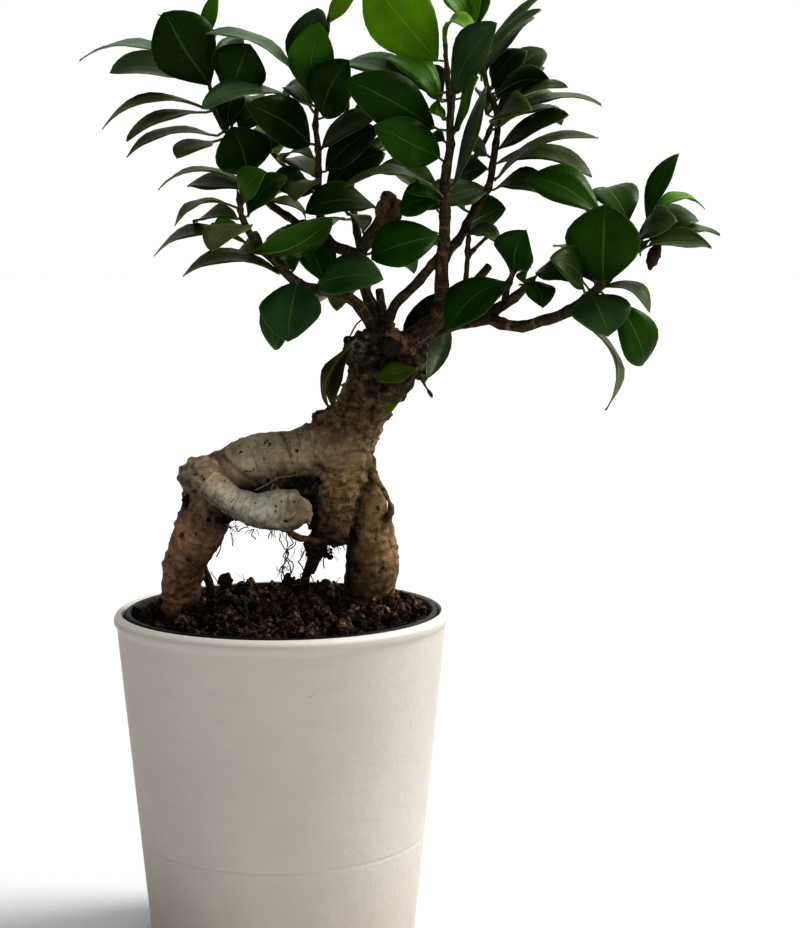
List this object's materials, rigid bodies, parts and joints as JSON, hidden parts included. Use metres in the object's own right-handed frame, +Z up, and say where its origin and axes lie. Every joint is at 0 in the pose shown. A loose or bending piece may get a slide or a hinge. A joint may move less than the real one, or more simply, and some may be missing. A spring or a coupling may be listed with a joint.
{
  "type": "ficus ginseng bonsai",
  "caption": "Grafted ficus with swollen bare roots that arch over the soil and a crown of glossy leaves, in a black growing pot inside a straight off-white ceramic cover pot.",
  "frame": {"origin": "middle of the cover pot's underside", "axes": "+Z up, -Y towards the pictured side, +X to the right in the picture"},
  "size_m": [0.2454, 0.1544, 0.3737],
  "materials": {
    "cover_pot": "matte",
    "growing_pot": "satin",
    "soil": "matte",
    "bark": "matte",
    "leaves": "satin",
    "young_leaves": "satin",
    "dry_leaf": "matte"
  },
  "bodies": {
    "root": {"cover_pot": "cover_pot", "growing_pot": "growing_pot", "soil": "soil", "rootstock": "bark", "leafy_stem_left_low": "leaves", "leafy_stem_left_high": "leaves", "leafy_stem_main": "leaves", "leafy_stem_right_low": "leaves", "leafy_stem_back_left": "leaves", "leafy_stem_back_right": "leaves", "sprout_leaf_front": "young_leaves", "sprout_leaf_neck": "young_leaves", "sprout_leaf_back": "leaves", "dry_leaf": "dry_leaf"}
  },
  "joints": []
}
